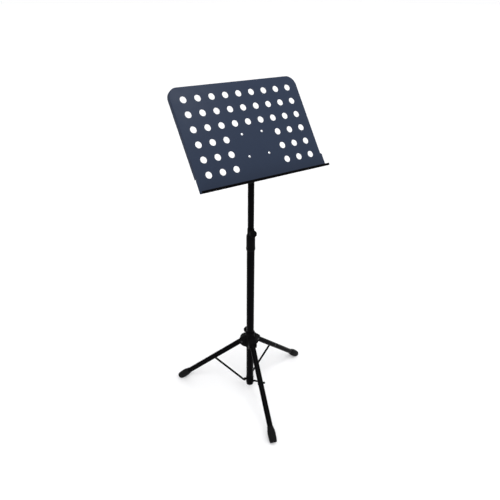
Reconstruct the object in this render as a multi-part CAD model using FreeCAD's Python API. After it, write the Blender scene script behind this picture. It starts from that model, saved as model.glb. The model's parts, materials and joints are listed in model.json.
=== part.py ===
import FreeCAD, Part
import math
import os
from FreeCAD import Rotation, Vector

os.makedirs("parts", exist_ok=True)

# Folding music stand. Millimetres, +Z up, the floor is z = 0 and the mast axis is x = y = 0.
# The desk faces -Y and leans back towards +Y; +X is the right-hand side of a player facing it.

# ---- driving dimensions: desk -------------------------------------------------------------
HOLE_PITCH_X = 49.0
HOLE_PITCH_V = 47.5
HOLE_COLUMNS = 9
FULL_ROWS = 3
SIDE_ROWS = 3
SIDE_COLUMNS = 3
HOLE_R = 10.7
SHEET = 1.2
DESK_LEAN = 35.0
PANEL_HALF_W = 239.0
PANEL_TOP = 160.0
PANEL_BOTTOM = -168.0
PANEL_CORNER_R = 34.0
RETURN_DEPTH = 14.0
EAR_HEIGHT = 45.0
EAR_HALF_W = 243.0
EAR_SHOULDER_R = 6.4
LEDGE_DEPTH = 33.0
LEDGE_OPEN = 12.0
LEDGE_LIP = 7.0
LEDGE_CORNER_R = 22.0
LEDGE_FLANGE = 18.0

# ---- driving dimensions: tilt joint -------------------------------------------------------
TILT_Z = 997.0
TILT_BELOW_CENTRE = 51.0
TILT_BEHIND_FRONT = 29.4
BRACKET_HOLES_X = 75.7
BRACKET_HOLES_V = 73.7
BRACKET_EDGE = 9.5
BRACKET_SHEET = 2.0
BRACKET_RIVET_R = 2.0
BRACKET_HEAD_R = 4.0
BRACKET_HEAD_RISE = 0.9
BRACKET_TAIL_R = 3.4
BRACKET_TAIL = 1.2
CLEVIS_IN = 8.3
CLEVIS_WALL = 2.5
CLEVIS_END_R = 12.0
CLEVIS_ROOT = 20.0
TONGUE_HALF = 7.0
TONGUE_R = 11.0
TILT_BOLT_R = 4.0
TILT_BOLT_HEAD_R = 8.0
TILT_BOLT_HEAD_T = 3.7
TILT_BOLT_HEAD_ROUND = 2.2
TILT_BOLT_END = 27.0
WASHER_GAP = 0.2
WASHER_T = 1.5

# ---- driving dimensions: mast -------------------------------------------------------------
UPPER_R = 11.0
UPPER_WALL = 1.2
UPPER_BOTTOM = 385.0
UPPER_TOP = 978.0
LOWER_R = 14.0
LOWER_WALL = 1.2
LOWER_BOTTOM = 29.0
LOWER_TOP = 682.0
RUNNING = 0.08
BUSH_BOTTOM = 386.0
BUSH_TOP = 404.0
PLUG_RIM = 3.0
PLUG_SPIGOT = 15.0
PLUG_EDGE = 1.5
HEAD_SPIGOT = 30.0
HEAD_STEP = 4.0
HEAD_RIVET_DROP = 12.0
HEAD_RIVET_R = 2.5
HEAD_RIVET_PROUD = 0.8
HEAD_FLAT = 9.0

# ---- driving dimensions: clutch -----------------------------------------------------------
CLUTCH_BOTTOM = 628.0
CLUTCH_SHOULDER = 686.0
CLUTCH_TOP = 713.0
CLUTCH_R = 15.6
CLUTCH_RIDGE_R = 16.6
CLUTCH_RIDGE = (7.0, 11.0, 15.0)
CLUTCH_MOUTH_R = 14.8
CLUTCH_TAPER = 8.0
CLUTCH_NECK_R = 12.3
CLUTCH_KNOB_Z = 705.0
CLUTCH_KNOB_AZ = -109.0
CLUTCH_KNOB_R = 12.6
CLUTCH_BOSS_END = 20.0
CLUTCH_NUT_START = 13.3
CLUTCH_WEB_HALF = 4.8
STUD_R = 3.0
STUD_CLEARANCE = 0.3
NUT_R = 5.0
BOSS_R = 7.8
KNOB_LEN = 15.0
KNOB_GAP = 1.0
KNOB_FLUTES = 8
KNOB_FLUTE_R = 2.4
KNOB_FLUTE_OUT = 0.96
KNOB_CHAMFER = 1.5
KNOB_POCKET = 11.0

# ---- driving dimensions: tripod -----------------------------------------------------------
LEG_AZIMUTHS = {"front": -108.3, "right": 11.7, "left": 131.7}
LEG_SPREAD = 49.0
LEG_PIVOT_R = 30.0
LEG_PIVOT_Z = 237.0
LEG_R = 10.0
LEG_WALL = 1.2
LEG_TUBE_START = 14.0
LEG_TUBE_END = 333.0
KNUCKLE_SPIGOT = 26.0
LEG_PIN_R = 3.0
LEG_PIN_HEAD_R = 4.5
LEG_PIN_HEAD = 1.5
KNUCKLE_SIDE_GAP = 0.5
KNUCKLE_NECK_R = 9.6
FOOT_START = 299.0
FOOT_END = 355.0
# Thickness of the rubber over the leg, by distance from the foot's upper rim.
FOOT_SWELL = ((0.0, 1.3), (5.0, 1.8), (14.0, 3.9), (25.0, 4.8), (37.0, 4.5), (50.0, 3.3), (56.0, 2.2))
HUB_KNOB_AZ = 71.7
HUB_KNOB_Z = 261.0
HUB_KNOB_R = 13.2
HUB_BOSS_END = 31.0
HUB_NUT_START = 21.0
HUB_SLEEVE_R = 18.0
HUB_BOTTOM = 212.0
HUB_TOP = 280.0
HUB_EAR_HALF = 14.5
HUB_SLOT_HALF = 10.5
HUB_ROOF_Z = 248.0
HUB_CHAMFER = (2.0, 3.0)
HUB_SLOT_START = 19.3
HUB_SLOT_END = 60.0
# Side outline of the hood over each leg: (distance from the mast's axis, height).
HUB_HOOD = ((0, 215), (20, 216.5), (31, 222), (37.5, 228), (41.5, 234.5), (42.5, 241.5), (40, 249), (35, 255),
            (27, 260.5), (18, 264), (0, 264))
BRACE_R = 3.9
BRACE_SIDE = 14.4
BRACE_END_R = 5.0
BRACE_END_EXTRA = 0.15
BRACE_GAP = 0.35
BRACE_ATTACH = 145.5
BRACE_PIVOT_R = 18.5
BRACE_PIVOT_Z = 50.0
COLLAR_R = 15.0
COLLAR_BOTTOM = 36.0
COLLAR_TOP = 62.0
LUG_R = 5.0
LUG_NEAR = 4.0
LUG_FAR = 9.0
HOOK_R = 2.5
HOOK_PROUD = 0.8
CLIP_R = 3.5
CLIP_T = 1.0
CLIP_PLAY = 0.1
CAP_R = 4.2
CAP_SINK = 0.4
CAP_T = 2.4
CAP_ROUND = 1.2
OVERCUT = 1.0

Z = Vector(0, 0, 1)
X = Vector(1, 0, 0)
Y = Vector(0, 1, 0)
ORIGIN = Vector(0, 0, 0)


def rod(radius, start, end):
    """A solid round bar between two points."""
    way = end - start
    return Part.makeCylinder(radius, way.Length, start, way)


def ring(outer, inner, start, end):
    """A hollow round bar between two points."""
    way = end - start
    over = way.normalize() * OVERCUT
    return rod(outer, start, end).cut(rod(inner, start - over, end + over))


def turned(profile):
    """A solid of revolution about Z from (radius, height) points."""
    points = [Vector(r, 0, z) for r, z in profile]
    face = Part.Face(Part.makePolygon(points + points[:1]))
    return face.revolve(ORIGIN, Z, 360)


def slab(points, thickness):
    """A closed flat outline, extruded by a vector."""
    return Part.Face(Part.makePolygon(points + points[:1])).extrude(thickness)


def block(low, high):
    """A rectangular block between two corners."""
    size = high - low
    return Part.makeBox(size.x, size.y, size.z, low)


def spun(shape, azimuth):
    """A shape made at azimuth 0, turned about the mast to its own azimuth."""
    copy = shape.copy()
    copy.rotate(ORIGIN, Z, azimuth)
    return copy


def rounded_outline(half_w, low, high, radius):
    """A face in local X-Y with its two upper corners rounded."""
    k = radius * math.sin(math.radians(45))
    right = half_w - radius
    edges = [
        Part.LineSegment(Vector(-half_w, low, 0), Vector(half_w, low, 0)),
        Part.LineSegment(Vector(half_w, low, 0), Vector(half_w, high - radius, 0)),
        Part.Arc(Vector(half_w, high - radius, 0), Vector(right + k, high - radius + k, 0),
                 Vector(right, high, 0)),
        Part.LineSegment(Vector(right, high, 0), Vector(-right, high, 0)),
        Part.Arc(Vector(-right, high, 0), Vector(-right - k, high - radius + k, 0),
                 Vector(-half_w, high - radius, 0)),
        Part.LineSegment(Vector(-half_w, high - radius, 0), Vector(-half_w, low, 0)),
    ]
    return Part.Face(Part.Wire([edge.toShape() for edge in edges]))


# ---- desk: built flat (local Y up the slope, local Z out of the front), then leaned back ----
def desk_placement():
    """Puts the desk's own frame, centred on its hole grid, into the stand."""
    turn = Rotation(X, 90.0 - DESK_LEAN)
    offset = turn.multVec(Vector(0, TILT_BELOW_CENTRE, TILT_BEHIND_FRONT))
    return FreeCAD.Placement(Vector(0, 0, TILT_Z) + offset, turn)


def leaned(shape):
    copy = shape.copy()
    copy.Placement = desk_placement().multiply(copy.Placement)
    return copy


def hole_centres():
    middle = (HOLE_COLUMNS - 1) / 2
    rows = FULL_ROWS + SIDE_ROWS
    for row in range(rows):
        for column in range(HOLE_COLUMNS):
            beside = column < SIDE_COLUMNS or column >= HOLE_COLUMNS - SIDE_COLUMNS
            if row < FULL_ROWS or beside:
                yield (column - middle) * HOLE_PITCH_X, ((rows - 1) / 2 - row) * HOLE_PITCH_V


def bracket_holes():
    for sx in (-1, 1):
        for sv in (-1, 1):
            yield sx * BRACKET_HOLES_X / 2, -TILT_BELOW_CENTRE + sv * BRACKET_HOLES_V / 2


def countersink(x, v):
    """The conical seat of a bracket rivet, through the sheet."""
    return Part.makeCone(BRACKET_RIVET_R, BRACKET_HEAD_R, SHEET, Vector(x, v, -SHEET), Z)


def desk_panel():
    """Perforated sheet with its sides and top folded back, and flat ears at the bottom."""
    outer = rounded_outline(PANEL_HALF_W, PANEL_BOTTOM, PANEL_TOP, PANEL_CORNER_R)
    inner = rounded_outline(PANEL_HALF_W - SHEET, PANEL_BOTTOM - OVERCUT, PANEL_TOP - SHEET,
                            PANEL_CORNER_R - SHEET)
    inner.translate(Vector(0, 0, -SHEET))
    tray = outer.extrude(Vector(0, 0, -RETURN_DEPTH)).cut(inner.extrude(Vector(0, 0, -RETURN_DEPTH)))
    ear_top = PANEL_BOTTOM + EAR_HEIGHT
    behind = block(Vector(-EAR_HALF_W, PANEL_BOTTOM - OVERCUT, -RETURN_DEPTH - OVERCUT),
                   Vector(EAR_HALF_W, ear_top, -SHEET))
    ears = rounded_outline(EAR_HALF_W, PANEL_BOTTOM, ear_top, EAR_SHOULDER_R).extrude(Vector(0, 0, -SHEET))
    holes = [rod(HOLE_R, Vector(x, v, -SHEET - OVERCUT), Vector(x, v, OVERCUT)) for x, v in hole_centres()]
    holes += [countersink(x, v) for x, v in bracket_holes()]
    return tray.cut(behind).fuse(ears).removeSplitter().cut(Part.makeCompound(holes))


def desk_ledge():
    """Shelf with a rounded, upturned front lip and a flange welded behind the panel."""
    turn = Rotation(X, 90)
    inner_top = PANEL_BOTTOM + LEDGE_LIP + OVERCUT

    def plate(inset, low, high):
        face = rounded_outline(EAR_HALF_W - inset, -inset, LEDGE_DEPTH - inset, LEDGE_CORNER_R - inset)
        face.Placement = FreeCAD.Placement(Vector(0, high, 0), turn)
        return face.extrude(Vector(0, low - high, 0))

    under = PANEL_BOTTOM - SHEET
    shelf = plate(0, under, PANEL_BOTTOM + LEDGE_LIP).cut(plate(SHEET, PANEL_BOTTOM, inner_top))
    side_gap = block(Vector(-EAR_HALF_W - OVERCUT, PANEL_BOTTOM, -OVERCUT),
                     Vector(EAR_HALF_W + OVERCUT, inner_top, LEDGE_DEPTH - LEDGE_CORNER_R))
    shelf = shelf.cut(side_gap)
    shelf.rotate(Vector(0, PANEL_BOTTOM, 0), X, LEDGE_OPEN)
    back = block(Vector(-EAR_HALF_W, under, -2 * SHEET), Vector(EAR_HALF_W, PANEL_BOTTOM, 0))
    flange = block(Vector(-PANEL_HALF_W, PANEL_BOTTOM, -2 * SHEET),
                   Vector(PANEL_HALF_W, PANEL_BOTTOM + LEDGE_FLANGE, -SHEET))
    return shelf.fuse([back, flange]).removeSplitter()


def tilt_bracket():
    """Plate riveted behind the panel, with two clevis walls that reach back to the tilt bolt."""
    half_x = BRACKET_HOLES_X / 2 + BRACKET_EDGE
    half_v = BRACKET_HOLES_V / 2 + BRACKET_EDGE
    mid = -TILT_BELOW_CENTRE
    front = -SHEET
    back = front - BRACKET_SHEET
    plate = block(Vector(-half_x, mid - half_v, back), Vector(half_x, mid + half_v, front))
    walls = []
    for side in (-1, 1):
        low_x = min(side * CLEVIS_IN, side * (CLEVIS_IN + CLEVIS_WALL))
        outline = [Vector(low_x, mid - CLEVIS_ROOT, front), Vector(low_x, mid + CLEVIS_ROOT, front),
                   Vector(low_x, mid + CLEVIS_END_R, -TILT_BEHIND_FRONT),
                   Vector(low_x, mid - CLEVIS_END_R, -TILT_BEHIND_FRONT)]
        walls.append(slab(outline, X * CLEVIS_WALL))
        eye = Vector(low_x, mid, -TILT_BEHIND_FRONT)
        walls.append(rod(CLEVIS_END_R, eye, eye + X * CLEVIS_WALL))
    bolt = rod(TILT_BOLT_R, Vector(-half_x, mid, -TILT_BEHIND_FRONT), Vector(half_x, mid, -TILT_BEHIND_FRONT))
    holes = [rod(BRACKET_RIVET_R, Vector(x, v, back - OVERCUT), Vector(x, v, 0)) for x, v in bracket_holes()]
    return plate.fuse(walls).removeSplitter().cut(Part.makeCompound(holes + [bolt]))


def bracket_rivets():
    """Four rivets: raised countersunk head in front, peened tail behind."""
    rivets = []
    back = -SHEET - BRACKET_SHEET
    dome_r = (BRACKET_HEAD_R ** 2 + BRACKET_HEAD_RISE ** 2) / (2 * BRACKET_HEAD_RISE)
    for x, v in bracket_holes():
        ball = Part.makeSphere(dome_r, Vector(x, v, BRACKET_HEAD_RISE - dome_r))
        dome = ball.common(rod(BRACKET_HEAD_R, Vector(x, v, 0), Vector(x, v, BRACKET_HEAD_R)))
        shank = rod(BRACKET_RIVET_R, Vector(x, v, back), Vector(x, v, -SHEET))
        tail = rod(BRACKET_TAIL_R, Vector(x, v, back - BRACKET_TAIL), Vector(x, v, back))
        rivets.append(dome.fuse([countersink(x, v), shank, tail]).removeSplitter())
    return Part.makeCompound(rivets)


def along_tilt(x):
    """A point on the tilt axis in the stand's frame."""
    return Vector(x, 0, TILT_Z)


def tilt_bolt():
    clevis_out = CLEVIS_IN + CLEVIS_WALL
    head = rod(TILT_BOLT_HEAD_R, along_tilt(-clevis_out - TILT_BOLT_HEAD_T), along_tilt(-clevis_out))
    head = head.makeFillet(TILT_BOLT_HEAD_ROUND, [edge_at(head, along_tilt(-clevis_out - TILT_BOLT_HEAD_T))])
    return head.fuse(rod(TILT_BOLT_R, along_tilt(-clevis_out), along_tilt(TILT_BOLT_END))).removeSplitter()


def edge_at(shape, centre):
    """The circular edge whose centre is nearest a point."""
    round_edges = [edge for edge in shape.Edges if isinstance(edge.Curve, Part.Circle)]
    return min(round_edges, key=lambda edge: edge.Curve.Center.distanceToPoint(centre))


def friction_washers():
    rings = []
    for side in (-1, 1):
        rings.append(ring(TONGUE_R - 1.0, TILT_BOLT_R, along_tilt(side * (TONGUE_HALF + WASHER_GAP)),
                          along_tilt(side * CLEVIS_IN)))
    return Part.makeCompound(rings)


def tilt_washer():
    start = CLEVIS_IN + CLEVIS_WALL
    return ring(TILT_BOLT_HEAD_R, TILT_BOLT_R, along_tilt(start), along_tilt(start + WASHER_T))


# ---- knobs ---------------------------------------------------------------------------------
def grip(radius, start, way):
    """Fluted hand grip, KNOB_LEN long, with chamfered rims."""
    body = rod(radius, start, start + way * KNOB_LEN)
    rims = [edge_at(body, start), edge_at(body, start + way * KNOB_LEN)]
    body = body.makeChamfer(KNOB_CHAMFER, rims)
    square = Rotation(Z, way)
    flutes = []
    for i in range(KNOB_FLUTES):
        turn = 2 * math.pi * i / KNOB_FLUTES
        foot = start + square.multVec(Vector(math.cos(turn), math.sin(turn), 0) * (radius + KNOB_FLUTE_OUT))
        flutes.append(rod(KNOB_FLUTE_R, foot - way * OVERCUT, foot + way * (KNOB_LEN + OVERCUT)))
    return body.cut(Part.makeCompound(flutes))


def side_knob(height, radius, boss_end):
    """Grip of a radial clamping screw, at azimuth 0, with a pocket for the screw."""
    start = Vector(boss_end + KNOB_GAP, 0, height)
    pocket = rod(STUD_R, start - X * OVERCUT, start + X * KNOB_POCKET)
    return grip(radius, start, X).cut(pocket)


def side_screw(height, tube_r, boss_end):
    """Clamping screw whose tip stops just short of the tube that it presses on."""
    return rod(STUD_R, Vector(tube_r + STUD_CLEARANCE, 0, height),
               Vector(boss_end + KNOB_GAP + KNOB_POCKET, 0, height))


def side_nut(height, start, boss_end):
    """Threaded insert moulded into a boss."""
    return ring(NUT_R, STUD_R + RUNNING, Vector(start, 0, height), Vector(boss_end, 0, height))


# ---- mast ----------------------------------------------------------------------------------
def clutch_housing():
    """Moulded sleeve over the lower tube's mouth, with a guide neck and a screw boss."""
    bore = UPPER_R + RUNNING
    ridge_low, ridge_high, ridge_end = (CLUTCH_BOTTOM + height for height in CLUTCH_RIDGE)
    profile = [(LOWER_R, CLUTCH_BOTTOM), (CLUTCH_MOUTH_R, CLUTCH_BOTTOM), (CLUTCH_RIDGE_R, ridge_low),
               (CLUTCH_RIDGE_R, ridge_high), (CLUTCH_R, ridge_end), (CLUTCH_R, CLUTCH_SHOULDER),
               (CLUTCH_NECK_R, CLUTCH_SHOULDER + CLUTCH_TAPER), (CLUTCH_NECK_R, CLUTCH_TOP),
               (bore, CLUTCH_TOP), (bore, LOWER_TOP), (LOWER_R, LOWER_TOP)]
    boss = rod(BOSS_R, Vector(0, 0, CLUTCH_KNOB_Z), Vector(CLUTCH_BOSS_END, 0, CLUTCH_KNOB_Z))
    web = block(Vector(0, -CLUTCH_WEB_HALF, CLUTCH_SHOULDER), Vector(CLUTCH_R, CLUTCH_WEB_HALF, CLUTCH_KNOB_Z))
    inside = rod(bore, Vector(0, 0, LOWER_TOP), Vector(0, 0, CLUTCH_TOP + OVERCUT))
    out = Vector(CLUTCH_BOSS_END + OVERCUT, 0, CLUTCH_KNOB_Z)
    hole = rod(STUD_R + STUD_CLEARANCE, Vector(0, 0, CLUTCH_KNOB_Z), out)
    pocket = rod(NUT_R, Vector(CLUTCH_NUT_START, 0, CLUTCH_KNOB_Z), out)
    raised = boss.fuse(web).cut(inside)
    return turned(profile).fuse(spun(raised, CLUTCH_KNOB_AZ)).cut(spun(hole.fuse(pocket), CLUTCH_KNOB_AZ))


def tilt_head():
    """Plug in the upper tube's mouth, rising as a tongue between the clevis walls."""
    spigot = rod(UPPER_R - UPPER_WALL, Vector(0, 0, UPPER_TOP - HEAD_SPIGOT), Vector(0, 0, UPPER_TOP))
    step = rod(UPPER_R, Vector(0, 0, UPPER_TOP), Vector(0, 0, UPPER_TOP + HEAD_STEP))
    neck = block(Vector(-TONGUE_HALF, -HEAD_FLAT, UPPER_TOP), Vector(TONGUE_HALF, HEAD_FLAT, TILT_Z))
    eye = rod(TONGUE_R, along_tilt(-TONGUE_HALF), along_tilt(TONGUE_HALF))
    bolt = rod(TILT_BOLT_R + RUNNING, along_tilt(-UPPER_R), along_tilt(UPPER_R))
    return spigot.fuse([step, neck, eye]).removeSplitter().cut(bolt).cut(head_rivet())


def head_rivet():
    """Cross rivet that holds the head in the upper tube."""
    height = UPPER_TOP - HEAD_RIVET_DROP
    reach = UPPER_R + HEAD_RIVET_PROUD
    return rod(HEAD_RIVET_R, Vector(0, -reach, height), Vector(0, reach, height))


def upper_tube():
    tube = ring(UPPER_R, UPPER_R - UPPER_WALL, Vector(0, 0, UPPER_BOTTOM), Vector(0, 0, UPPER_TOP))
    return tube.cut(head_rivet())


def upper_end_plug():
    """Flanged plug that keeps the guide bush on the upper tube."""
    flange = rod(UPPER_R + HEAD_RIVET_PROUD, Vector(0, 0, UPPER_BOTTOM - PLUG_RIM), Vector(0, 0, UPPER_BOTTOM))
    spigot = rod(UPPER_R - UPPER_WALL, Vector(0, 0, UPPER_BOTTOM), Vector(0, 0, UPPER_BOTTOM + PLUG_SPIGOT))
    return flange.fuse(spigot).removeSplitter()


def guide_bush():
    """Plain ring that the upper tube turns in and that slides in the lower tube."""
    outer = LOWER_R - LOWER_WALL - RUNNING
    return ring(outer, UPPER_R + RUNNING, Vector(0, 0, BUSH_BOTTOM), Vector(0, 0, BUSH_TOP))


def lower_end_plug():
    """Plastic plug with a rim that closes the foot of the lower tube."""
    base = LOWER_BOTTOM - PLUG_RIM
    rim = turned([(0, base), (LOWER_R - PLUG_EDGE, base), (LOWER_R, base + PLUG_EDGE),
                  (LOWER_R, LOWER_BOTTOM), (0, LOWER_BOTTOM)])
    start = Vector(0, 0, LOWER_BOTTOM)
    return rim.fuse(rod(LOWER_R - LOWER_WALL, start, start + Z * PLUG_SPIGOT))


def brace_collar():
    """Ring fixed near the foot of the lower tube, with one lug for each brace."""
    collar = ring(COLLAR_R, LOWER_R, Vector(0, 0, COLLAR_BOTTOM), Vector(0, 0, COLLAR_TOP))
    inside = rod(LOWER_R, Vector(0, 0, COLLAR_BOTTOM), Vector(0, 0, COLLAR_TOP))
    eye = Vector(BRACE_PIVOT_R, 0, BRACE_PIVOT_Z)
    lug = block(Vector(0, LUG_NEAR, BRACE_PIVOT_Z - LUG_R),
                Vector(BRACE_PIVOT_R, LUG_FAR, BRACE_PIVOT_Z + LUG_R))
    lug = lug.fuse(rod(LUG_R, eye + Y * LUG_NEAR, eye + Y * LUG_FAR)).removeSplitter().cut(inside)
    bore = rod(HOOK_R + RUNNING, eye + Y * (LUG_NEAR - OVERCUT), eye + Y * (LUG_FAR + OVERCUT))
    lugs = [spun(lug.cut(bore), azimuth) for azimuth in LEG_AZIMUTHS.values()]
    return collar.fuse(lugs).removeSplitter()


# ---- tripod, each leg made at azimuth 0 -----------------------------------------------------
def leg_point(along, side=0.0):
    """A point by distance down the leg from its pivot and offset to its side."""
    lean = math.radians(LEG_SPREAD)
    return Vector(LEG_PIVOT_R + along * math.sin(lean), side, LEG_PIVOT_Z - along * math.cos(lean))


def leg_pin(extra=0.0):
    eye = Vector(LEG_PIVOT_R, 0, LEG_PIVOT_Z)
    return rod(LEG_PIN_R + extra, eye - Y * HUB_EAR_HALF, eye + Y * HUB_EAR_HALF)


def leg_pins():
    """One headed pin for each leg, across its pair of hub cheeks."""
    pins = []
    for azimuth in LEG_AZIMUTHS.values():
        eye = Vector(LEG_PIVOT_R, 0, LEG_PIVOT_Z)
        ends = [(Y * side * HUB_EAR_HALF, Y * side * (HUB_EAR_HALF + LEG_PIN_HEAD)) for side in (-1, 1)]
        heads = [rod(LEG_PIN_HEAD_R, eye + inner, eye + outer) for inner, outer in ends]
        pins.append(spun(leg_pin().fuse(heads).removeSplitter(), azimuth))
    return Part.makeCompound(pins)


def hub_body():
    """Moulded hub: a sleeve on the lower tube, three hooded ears for the legs and a screw boss."""
    bore = LOWER_R + RUNNING
    chamfer_r, chamfer_z = HUB_CHAMFER
    sleeve = turned([(bore, HUB_BOTTOM), (HUB_SLEEVE_R, HUB_BOTTOM), (HUB_SLEEVE_R, HUB_TOP - chamfer_z),
                     (HUB_SLEEVE_R - chamfer_r, HUB_TOP), (bore, HUB_TOP)])
    inside = rod(bore, Vector(0, 0, HUB_BOTTOM), Vector(0, 0, HUB_TOP))
    ear = slab([Vector(r, -HUB_EAR_HALF, z) for r, z in HUB_HOOD], Y * 2 * HUB_EAR_HALF)
    slot = block(Vector(HUB_SLOT_START, -HUB_SLOT_HALF, HUB_BOTTOM - OVERCUT),
                 Vector(HUB_SLOT_END, HUB_SLOT_HALF, HUB_ROOF_Z))
    ears = [spun(ear.cut(slot), azimuth) for azimuth in LEG_AZIMUTHS.values()]
    slots = [spun(slot, azimuth) for azimuth in LEG_AZIMUTHS.values()]
    axis = Vector(0, 0, HUB_KNOB_Z)
    boss = spun(rod(BOSS_R, axis, axis + X * HUB_BOSS_END), HUB_KNOB_AZ)
    hole = rod(STUD_R + STUD_CLEARANCE, axis, axis + X * (HUB_BOSS_END + OVERCUT))
    pocket = rod(NUT_R, axis + X * HUB_NUT_START, axis + X * (HUB_BOSS_END + OVERCUT))
    pins = [spun(leg_pin(), azimuth) for azimuth in LEG_AZIMUTHS.values()]
    body = sleeve.fuse(ears + [boss]).removeSplitter()
    return body.cut([inside, spun(hole.fuse(pocket), HUB_KNOB_AZ)] + slots + pins)


def leg_knuckle():
    """Solid plug in the top of a leg, bored for the pivot pin."""
    width = HUB_SLOT_HALF - KNUCKLE_SIDE_GAP
    eye = Vector(LEG_PIVOT_R, 0, LEG_PIVOT_Z)
    tongue = rod(width, eye - Y * width, eye + Y * width)
    neck = rod(KNUCKLE_NECK_R, leg_point(0), leg_point(LEG_TUBE_START))
    spigot = rod(LEG_R - LEG_WALL, leg_point(LEG_TUBE_START), leg_point(LEG_TUBE_START + KNUCKLE_SPIGOT))
    return tongue.fuse([neck, spigot]).removeSplitter().cut(leg_pin(RUNNING))


def leg_tube():
    return ring(LEG_R, LEG_R - LEG_WALL, leg_point(LEG_TUBE_START), leg_point(LEG_TUBE_END))


def rubber_foot():
    """Bulb of rubber pushed over the leg's end, cut flat where it stands on the floor."""
    profile = [(LEG_R, 0)] + [(LEG_R + swell, along) for along, swell in FOOT_SWELL]
    profile += [(0, FOOT_END - FOOT_START), (0, LEG_TUBE_END - FOOT_START), (LEG_R, LEG_TUBE_END - FOOT_START)]
    foot = turned([(r, -FOOT_START - along) for r, along in profile])
    foot.Placement = FreeCAD.Placement(Vector(LEG_PIVOT_R, 0, LEG_PIVOT_Z), Rotation(Y, -LEG_SPREAD))
    wide = FOOT_END - FOOT_START
    return foot.common(block(Vector(0, -wide, 0), Vector(FOOT_END, wide, LEG_PIVOT_Z)))


def brace_cap():
    """Push-on cap beside the leg, over the end of the brace's upper pivot."""
    start = leg_point(BRACE_ATTACH, side=CAP_SINK - LEG_R)
    cap = rod(CAP_R, start, start - Y * CAP_T)
    cap = cap.makeFillet(CAP_ROUND, [edge_at(cap, start - Y * CAP_T)])
    return cap.cut(leg_envelope())


def leg_envelope():
    return rod(LEG_R, leg_point(LEG_TUBE_START), leg_point(LEG_TUBE_END))


def brace():
    """Round rod with forged ends; the lower end carries a hook through the collar's lug."""
    low = Vector(BRACE_PIVOT_R, BRACE_SIDE, BRACE_PIVOT_Z)
    high = leg_point(BRACE_ATTACH, side=BRACE_SIDE)
    half = BRACE_R + BRACE_END_EXTRA
    low_end = rod(BRACE_END_R, low + Y * half, low - Y * (BRACE_SIDE - LUG_FAR - BRACE_GAP))
    high_end = rod(BRACE_END_R, high + Y * half, high - Y * (BRACE_SIDE - LEG_R - BRACE_GAP))
    hook = rod(HOOK_R, low, low - Y * (BRACE_SIDE - LUG_NEAR + CLIP_T + HOOK_PROUD))
    return rod(BRACE_R, low, high).fuse([low_end, high_end, hook])


def brace_clip():
    """Retaining ring on the brace's hooked end, behind the lug."""
    start = Vector(BRACE_PIVOT_R, LUG_NEAR - CLIP_PLAY, BRACE_PIVOT_Z)
    return ring(CLIP_R, HOOK_R, start, start - Y * CLIP_T)


# ---- one file for each node ------------------------------------------------------------------
def save(node, shape):
    solids = shape.Solids
    if not shape.isValid() or not solids:
        raise ValueError(node + " is not a valid solid")
    kept = solids[0] if len(solids) == 1 else Part.makeCompound(solids)
    kept.exportStep("parts/" + node + ".step")
    print(node, len(solids), round(shape.Volume / 1000, 2), "cm3")


def main():
    desk = {"desk_panel": desk_panel, "desk_ledge": desk_ledge, "tilt_bracket": tilt_bracket,
            "bracket_rivets": bracket_rivets}
    for node, make in desk.items():
        save(node, leaned(make()))
    mast = {"tilt_bolt": tilt_bolt, "friction_washers": friction_washers, "tilt_washer": tilt_washer,
            "tilt_head": tilt_head, "head_rivet": head_rivet, "upper_tube": upper_tube,
            "upper_end_plug": upper_end_plug, "guide_bush": guide_bush, "clutch_housing": clutch_housing,
            "lower_end_plug": lower_end_plug, "brace_collar": brace_collar, "hub_body": hub_body,
            "leg_pins": leg_pins}
    for node, make in mast.items():
        save(node, make())
    save("lower_tube", ring(LOWER_R, LOWER_R - LOWER_WALL, Vector(0, 0, LOWER_BOTTOM), Vector(0, 0, LOWER_TOP)))
    knob_start = along_tilt(CLEVIS_IN + CLEVIS_WALL + WASHER_T + STUD_CLEARANCE)
    threaded = rod(TILT_BOLT_R + RUNNING, along_tilt(0), along_tilt(TILT_BOLT_END + STUD_CLEARANCE))
    save("tilt_knob", grip(CLUTCH_KNOB_R, knob_start, X).cut(threaded))
    clutch = {"clutch_knob": side_knob(CLUTCH_KNOB_Z, CLUTCH_KNOB_R, CLUTCH_BOSS_END),
              "clutch_screw": side_screw(CLUTCH_KNOB_Z, UPPER_R, CLUTCH_BOSS_END),
              "clutch_nut": side_nut(CLUTCH_KNOB_Z, CLUTCH_NUT_START, CLUTCH_BOSS_END)}
    for node, shape in clutch.items():
        save(node, spun(shape, CLUTCH_KNOB_AZ))
    hub = {"hub_knob": side_knob(HUB_KNOB_Z, HUB_KNOB_R, HUB_BOSS_END),
           "hub_screw": side_screw(HUB_KNOB_Z, LOWER_R, HUB_BOSS_END),
           "hub_nut": side_nut(HUB_KNOB_Z, HUB_NUT_START, HUB_BOSS_END)}
    for node, shape in hub.items():
        save(node, spun(shape, HUB_KNOB_AZ))
    leg = {"leg_knuckle": leg_knuckle, "leg_tube": leg_tube, "rubber_foot": rubber_foot,
           "brace_cap": brace_cap, "brace": brace, "brace_clip": brace_clip}
    for place, azimuth in LEG_AZIMUTHS.items():
        for node, make in leg.items():
            save(node + "_" + place, spun(make(), azimuth))


main()
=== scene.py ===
import json
import math

import bmesh
import bpy
from mathutils import Matrix, Vector


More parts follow.
